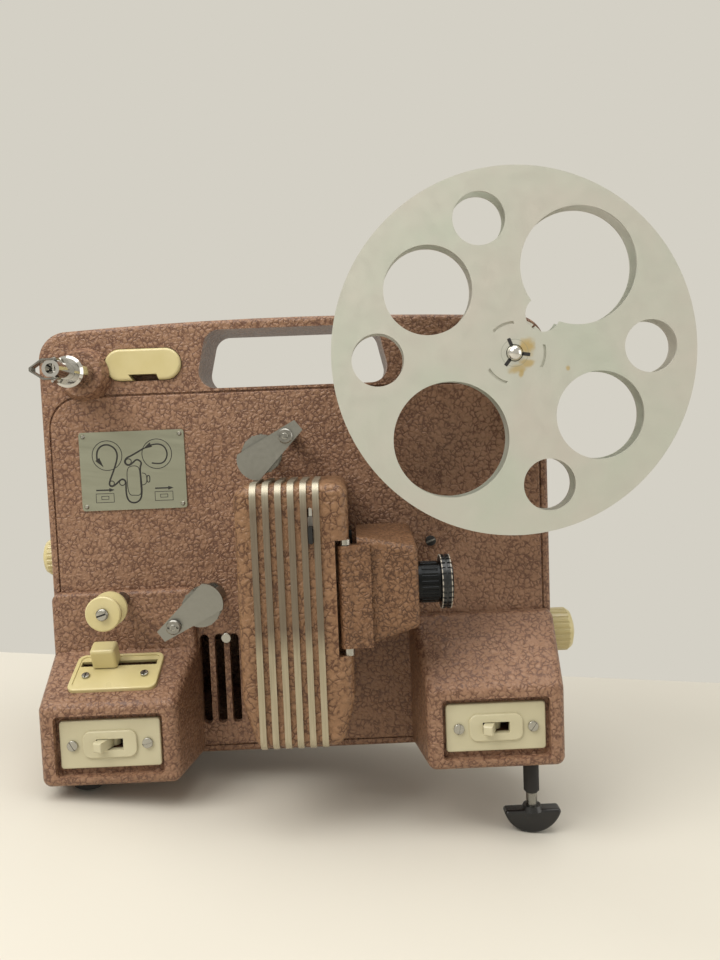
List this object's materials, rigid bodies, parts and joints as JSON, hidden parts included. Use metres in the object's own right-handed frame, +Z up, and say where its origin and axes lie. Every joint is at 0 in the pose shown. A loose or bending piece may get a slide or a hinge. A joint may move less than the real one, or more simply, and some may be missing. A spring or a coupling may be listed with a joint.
{
  "type": "movie projector",
  "caption": "Upright movie projector for narrow film: cast housing with a carrying handle, full reel on a keyed spindle, ribbed lamp house, hinged lens door and a screw foot.",
  "frame": {"origin": "on the table under the middle of the whole object's box, standing on its two rubber feet and its screw foot", "axes": "+X towards the lens end, level; +Y into the machine, away from the panel and the reels, along the spindles; +Z up. The machine itself leans 8.26 degrees about Y, lens end up."},
  "size_m": [0.3232, 0.139, 0.3233],
  "materials": {
    "housing_paint": "hammertone",
    "steel": "satin",
    "black_plastic": "satin",
    "cover_paint": "hammertone",
    "rib_metal": "satin",
    "lens_metal": "anodised",
    "door_paint": "hammertone",
    "lens_black": "satin",
    "glass": "clear",
    "brass": "satin",
    "motor_metal": "satin",
    "label_metal": "printed",
    "spindle_chrome": "polished",
    "reel_metal": "matte",
    "sprocket_metal": "satin",
    "keeper_metal": "cast",
    "cream_plastic": "aged",
    "pale_plastic": "satin",
    "insulator": "moulded",
    "belt_rubber": "matte",
    "foot_rubber": "matte"
  },
  "bodies": {
    "housing": {"front_housing": "housing_paint", "rear_cover": "housing_paint", "cover_screws": "steel", "mains_inlet": "black_plastic", "lamp_cover": "cover_paint", "lamp_cover_ribs": "rib_metal", "gate_plate": "lens_metal", "door_pin": "steel", "lamp_bulb": "glass", "lamp_socket": "brass", "light_holders": "motor_metal", "condenser_lens": "glass", "label_plate": "label_metal", "panel_fasteners": "steel", "spindle_collars": "spindle_chrome", "sprocket_bushes": "brass", "film_posts": "steel", "speed_plate": "pale_plastic", "speed_resistor": "insulator", "motor_switch_plate": "pale_plastic", "lamp_switch_plate": "pale_plastic", "motor_switch_body": "insulator", "lamp_switch_body": "insulator", "control_screws": "steel", "motor_case": "motor_metal", "shaft_brackets": "steel", "drive_belts": "belt_rubber", "rubber_feet": "foot_rubber", "foot_sleeve": "black_plastic"},
    "feed": {"feed_spindle": "spindle_chrome", "reel_front_flange": "reel_metal", "reel_rear_flange": "reel_metal", "reel_core": "reel_metal"},
    "takeup": {"takeup_spindle": "spindle_chrome"},
    "catch": {"spindle_catch": "steel"},
    "upper_sprocket_body": {"upper_sprocket": "sprocket_metal"},
    "lower_sprocket_body": {"lower_sprocket": "sprocket_metal"},
    "upper_keeper_body": {"upper_keeper": "keeper_metal"},
    "lower_keeper_body": {"lower_keeper": "keeper_metal"},
    "roller": {"guide_roller": "cream_plastic"},
    "speed_control": {"speed_slider": "cream_plastic"},
    "motor_toggle": {"motor_switch_toggle": "pale_plastic"},
    "lamp_toggle": {"lamp_switch_toggle": "pale_plastic"},
    "door": {"lens_door": "door_paint", "pressure_plate": "steel"},
    "barrel": {"lens_barrel": "lens_metal", "lens_glasses": "glass"},
    "focus": {"focus_ring": "lens_black"},
    "latch": {"cover_latch": "black_plastic"},
    "left_key": {"left_oval_key": "cream_plastic"},
    "right_key": {"right_oval_key": "cream_plastic"},
    "motor_rotor": {"inching_knob": "cream_plastic", "motor_shaft": "steel", "cooling_fan": "motor_metal"},
    "shutter": {"main_shaft": "steel", "shutter_disc": "steel"},
    "claw": {"claw_arm": "steel"},
    "framing": {"framing_knob": "cream_plastic"},
    "foot_stem": {"foot_screw": "steel"},
    "foot_thumb": {"foot_grip": "black_plastic"}
  },
  "joints": [
    {"name": "feed_spin", "type": "hinge", "parent": "housing", "child": "feed", "pos_m": [0.07514, -0.0399, 0.2368], "axis": [0, 1, 0], "continuous": true},
    {"name": "takeup_spin", "type": "hinge", "parent": "housing", "child": "takeup", "pos_m": [-0.13664, -0.0399, 0.20606], "axis": [0, 1, 0], "continuous": true},
    {"name": "catch_fold", "type": "hinge", "parent": "takeup", "child": "catch", "pos_m": [-0.13664, -0.05145, 0.20606], "axis": [-0.1437, 0, 0.9896], "range_deg": [0, 90]},
    {"name": "upper_sprocket_spin", "type": "hinge", "parent": "housing", "child": "upper_sprocket_body", "pos_m": [-0.03882, -0.0399, 0.17681], "axis": [0, 1, 0], "continuous": true},
    {"name": "lower_sprocket_spin", "type": "hinge", "parent": "housing", "child": "lower_sprocket_body", "pos_m": [-0.06026, -0.0399, 0.10033], "axis": [0, 1, 0], "continuous": true},
    {"name": "upper_keeper_lift", "type": "hinge", "parent": "housing", "child": "upper_keeper_body", "pos_m": [-0.02793, -0.0399, 0.18668], "axis": [0, 1, 0], "range_deg": [0, 40]},
    {"name": "lower_keeper_lift", "type": "hinge", "parent": "housing", "child": "lower_keeper_body", "pos_m": [-0.07113, -0.0399, 0.09168], "axis": [0, 1, 0], "range_deg": [0, 40]},
    {"name": "roller_spin", "type": "hinge", "parent": "housing", "child": "roller", "pos_m": [-0.10609, -0.0399, 0.09308], "axis": [0, 1, 0], "continuous": true},
    {"name": "speed_slide", "type": "slide", "parent": "housing", "child": "speed_control", "axis": [0.9896, 0, 0.1437], "range_m": [-0.008, 0.019]},
    {"name": "motor_toggle_throw", "type": "hinge", "parent": "housing", "child": "motor_toggle", "pos_m": [-0.09704, -0.04, 0.03073], "axis": [-0.1437, 0, 0.9896], "range_deg": [0, 44]},
    {"name": "lamp_toggle_throw", "type": "hinge", "parent": "housing", "child": "lamp_toggle", "pos_m": [0.08703, -0.04, 0.05745], "axis": [-0.1437, 0, 0.9896], "range_deg": [0, 44]},
    {"name": "door_swing", "type": "hinge", "parent": "housing", "child": "door", "pos_m": [0.00815, -0.0619, 0.11774], "axis": [0.1437, 0, -0.9896], "range_deg": [0, 95]},
    {"name": "lens_slide", "type": "slide", "parent": "door", "child": "barrel", "axis": [0.9896, 0, 0.1437], "range_m": [-0.0016, 0.0016]},
    {"name": "focus_turn", "type": "hinge", "parent": "barrel", "child": "focus", "pos_m": [0.05288, -0.0399, 0.12424], "axis": [0.9896, 0, 0.1437], "range_deg": [-90, 90]},
    {"name": "latch_slide", "type": "slide", "parent": "housing", "child": "latch", "axis": [-0.1437, 0, 0.9896], "range_m": [0, 0.008]},
    {"name": "left_key_press", "type": "slide", "parent": "housing", "child": "left_key", "axis": [0, 1, 0], "range_m": [0, 0.002], "stiffness_N_per_m": 250, "springref_m": -0.001},
    {"name": "right_key_press", "type": "slide", "parent": "housing", "child": "right_key", "axis": [0, 1, 0], "range_m": [0, 0.002], "stiffness_N_per_m": 250, "springref_m": -0.001},
    {"name": "motor_spin", "type": "hinge", "parent": "housing", "child": "motor_rotor", "pos_m": [-0.04449, 0.0185, 0.12122], "axis": [0.9896, 0, 0.1437], "continuous": true},
    {"name": "shutter_spin", "type": "hinge", "parent": "housing", "child": "shutter", "pos_m": [0.0036, 0.0055, 0.11708], "axis": [0.9896, 0, 0.1437], "continuous": true},
    {"name": "claw_stroke", "type": "slide", "parent": "housing", "child": "claw", "axis": [0.1437, 0, -0.9896], "range_m": [0, 0.0038]},
    {"name": "framing_turn", "type": "hinge", "parent": "housing", "child": "framing", "pos_m": [0.1204, 0.0185, 0.09211], "axis": [0.9896, 0, 0.1437], "range_deg": [-30, 30]},
    {"name": "foot_extend", "type": "slide", "parent": "housing", "child": "foot_stem", "axis": [0.1437, 0, -0.9896], "range_m": [-0.004, 0.012]},
    {"name": "foot_turn", "type": "hinge", "parent": "foot_stem", "child": "foot_thumb", "pos_m": [0.1134, -0.0305, 0.015], "axis": [0.1437, 0, -0.9896], "range_deg": [-1094, 3398]}
  ],
  "couplings": [
    {"joint": "shutter_spin", "follows": "motor_spin", "ratio": 0.6},
    {"joint": "lower_sprocket_spin", "follows": "motor_spin", "ratio": 0.042857},
    {"joint": "upper_sprocket_spin", "follows": "motor_spin", "ratio": 0.042857}
  ]
}
